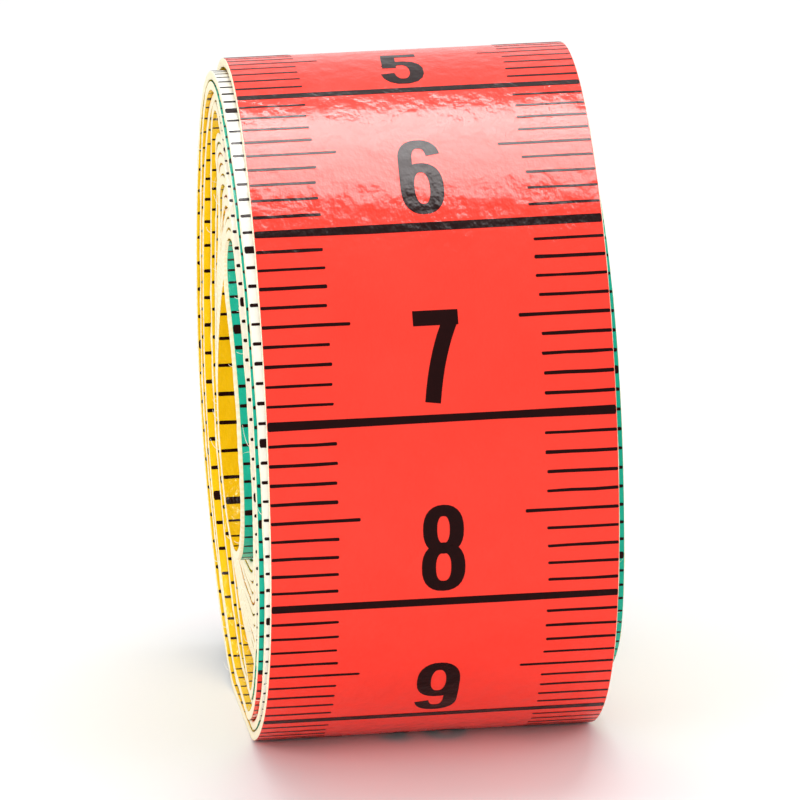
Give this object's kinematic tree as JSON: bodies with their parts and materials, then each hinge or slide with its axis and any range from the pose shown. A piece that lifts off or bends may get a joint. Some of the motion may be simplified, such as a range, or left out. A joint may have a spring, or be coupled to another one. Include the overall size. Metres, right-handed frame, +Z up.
{
  "type": "cloth tape measure",
  "caption": "Flexible vinyl-coated cloth measuring band rolled up on itself, with a folded metal tip crimped on each end and a free outer end that lifts off the roll.",
  "frame": {"origin": "middle of the small flat on which the roll stands, straight below the roll's axis", "axes": "+X along the roll's axis to the right of someone reading the numbers, -Y towards that reader, +Z up"},
  "size_m": [0.0188, 0.0362, 0.0352],
  "materials": {
    "tape_coat": "satin vinyl coat on woven glass-fibre cloth",
    "tip_metal": "nickel-plated pressed sheet"
  },
  "bodies": {
    "roll": {"tape_roll": "tape_coat", "inner_end_tip": "tip_metal"},
    "free_end": {"tape_free_end": "tape_coat", "zero_end_tip": "tip_metal"}
  },
  "joints": [
    {"name": "free_end_lift", "type": "hinge", "parent": "roll", "child": "free_end", "pos_m": [0, 0.00346, 0.03492], "axis": [1, 0, 0], "range_deg": [0, 90], "stiffness_Nm_per_rad": 0.004}
  ]
}
